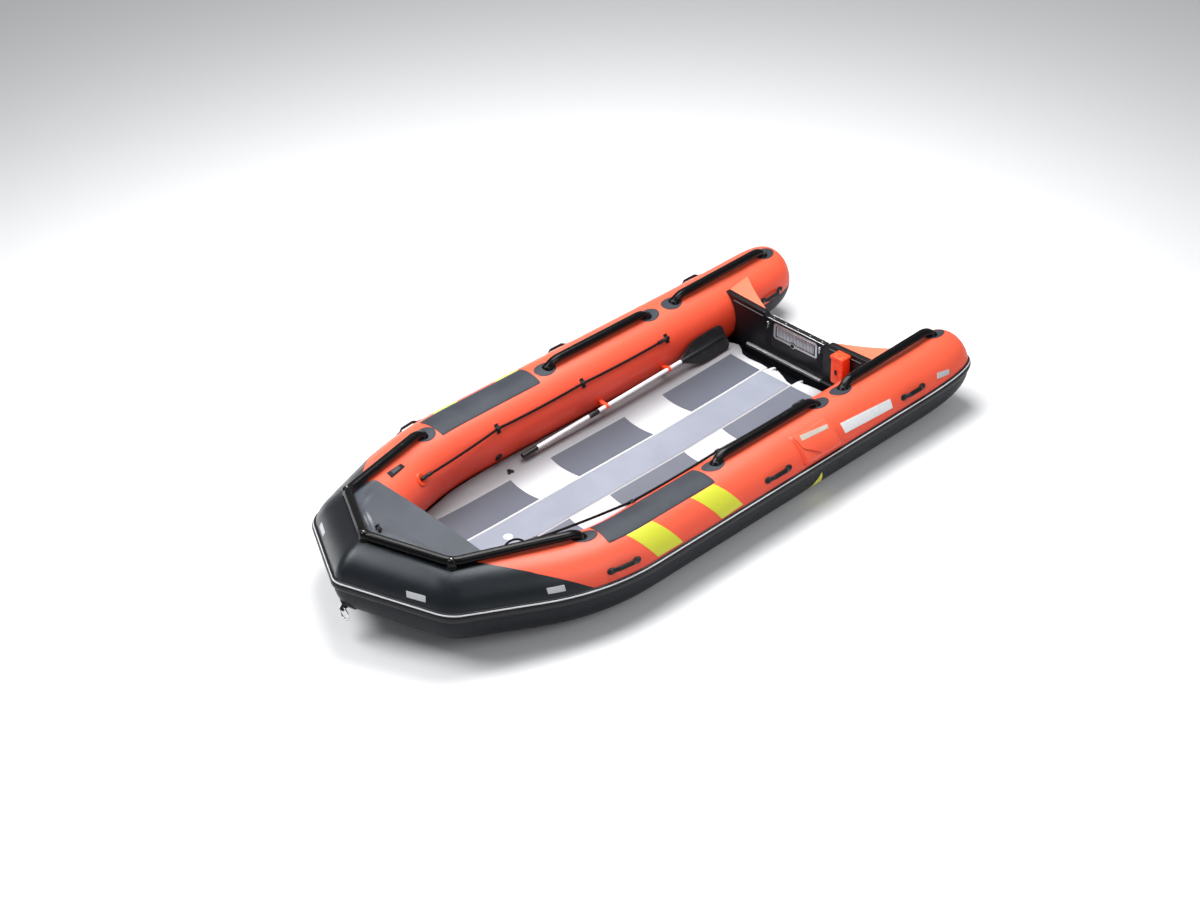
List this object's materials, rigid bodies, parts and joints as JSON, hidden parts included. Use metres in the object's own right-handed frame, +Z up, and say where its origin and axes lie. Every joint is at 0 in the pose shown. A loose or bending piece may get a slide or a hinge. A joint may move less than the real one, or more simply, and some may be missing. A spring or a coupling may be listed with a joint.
{
  "type": "inflatable rescue boat",
  "caption": "Orange and black inflatable rescue boat with two tail tubes, air deck, transom for an outboard, bow and side grab rails, spray cover, lifelines and oars.",
  "frame": {"origin": "on the floor under the middle of the boat's length, on its centre plane", "axes": "+X to the bow, +Y to port, +Z up"},
  "size_m": [4.6747, 2.1894, 0.696],
  "materials": {
    "orange_fabric": "coated fabric, satin",
    "black_fabric": "coated fabric, satin",
    "black_rubber": "moulded",
    "glossy_black": "glossy",
    "deck_fabric": "coated fabric with grip strips",
    "cover_fabric": "woven",
    "grip_pad": "ribbed",
    "aluminium": "satin",
    "grey_plate": "ribbed",
    "black_rope": "braided",
    "white_shaft": "smooth",
    "black_board": "coated plywood"
  },
  "bodies": {
    "hull": {"tube_port": "orange_fabric", "tube_starboard": "orange_fabric", "lower_panel_port": "black_fabric", "lower_panel_starboard": "black_fabric", "bow_panel_port": "black_fabric", "bow_panel_starboard": "black_fabric", "nose_panel_port": "black_fabric", "nose_panel_starboard": "black_fabric", "rubbing_strake_port": "black_rubber", "rubbing_strake_starboard": "black_rubber", "bottom_fabric": "black_fabric", "deck_panel_middle": "deck_fabric", "deck_panel_port": "deck_fabric", "deck_panel_starboard": "deck_fabric", "deck_bar": "aluminium", "transom_board": "black_board", "notch_cap": "aluminium", "motor_plate_inner": "grey_plate", "motor_plate_outer": "grey_plate", "gusset_port": "orange_fabric", "gusset_starboard": "orange_fabric", "spray_cover": "cover_fabric", "bow_rail": "glossy_black", "side_rail_middle_port": "glossy_black", "side_rail_middle_starboard": "glossy_black", "side_rail_aft_port": "glossy_black", "side_rail_aft_starboard": "glossy_black", "handle_fore_port": "black_rubber", "handle_fore_starboard": "black_rubber", "handle_middle_port": "black_rubber", "handle_middle_starboard": "black_rubber", "handle_aft_port": "black_rubber", "handle_aft_starboard": "black_rubber", "handle_tail_port": "black_rubber", "handle_tail_starboard": "black_rubber", "step_pad_port": "grip_pad", "step_pad_starboard": "grip_pad", "lifeline_port": "black_rope", "lifeline_starboard": "black_rope", "oar_shaft_port": "white_shaft", "oar_shaft_starboard": "white_shaft", "oar_blade_port": "black_rubber", "oar_blade_starboard": "black_rubber", "equipment_box": "orange_fabric", "side_pouch": "orange_fabric", "air_valve": "black_rubber", "towing_eye": "aluminium", "oar_clip_fore_port": "orange_fabric", "oar_clip_fore_starboard": "orange_fabric", "oar_clip_aft_port": "orange_fabric", "oar_clip_aft_starboard": "orange_fabric"},
    "ring": {"towing_ring": "aluminium"}
  },
  "joints": [
    {"name": "towing_ring_swing", "type": "hinge", "parent": "hull", "child": "ring", "pos_m": [2.2827, 0, 0.2388], "axis": [0, -1, 0], "range_deg": [-15, 115]}
  ]
}
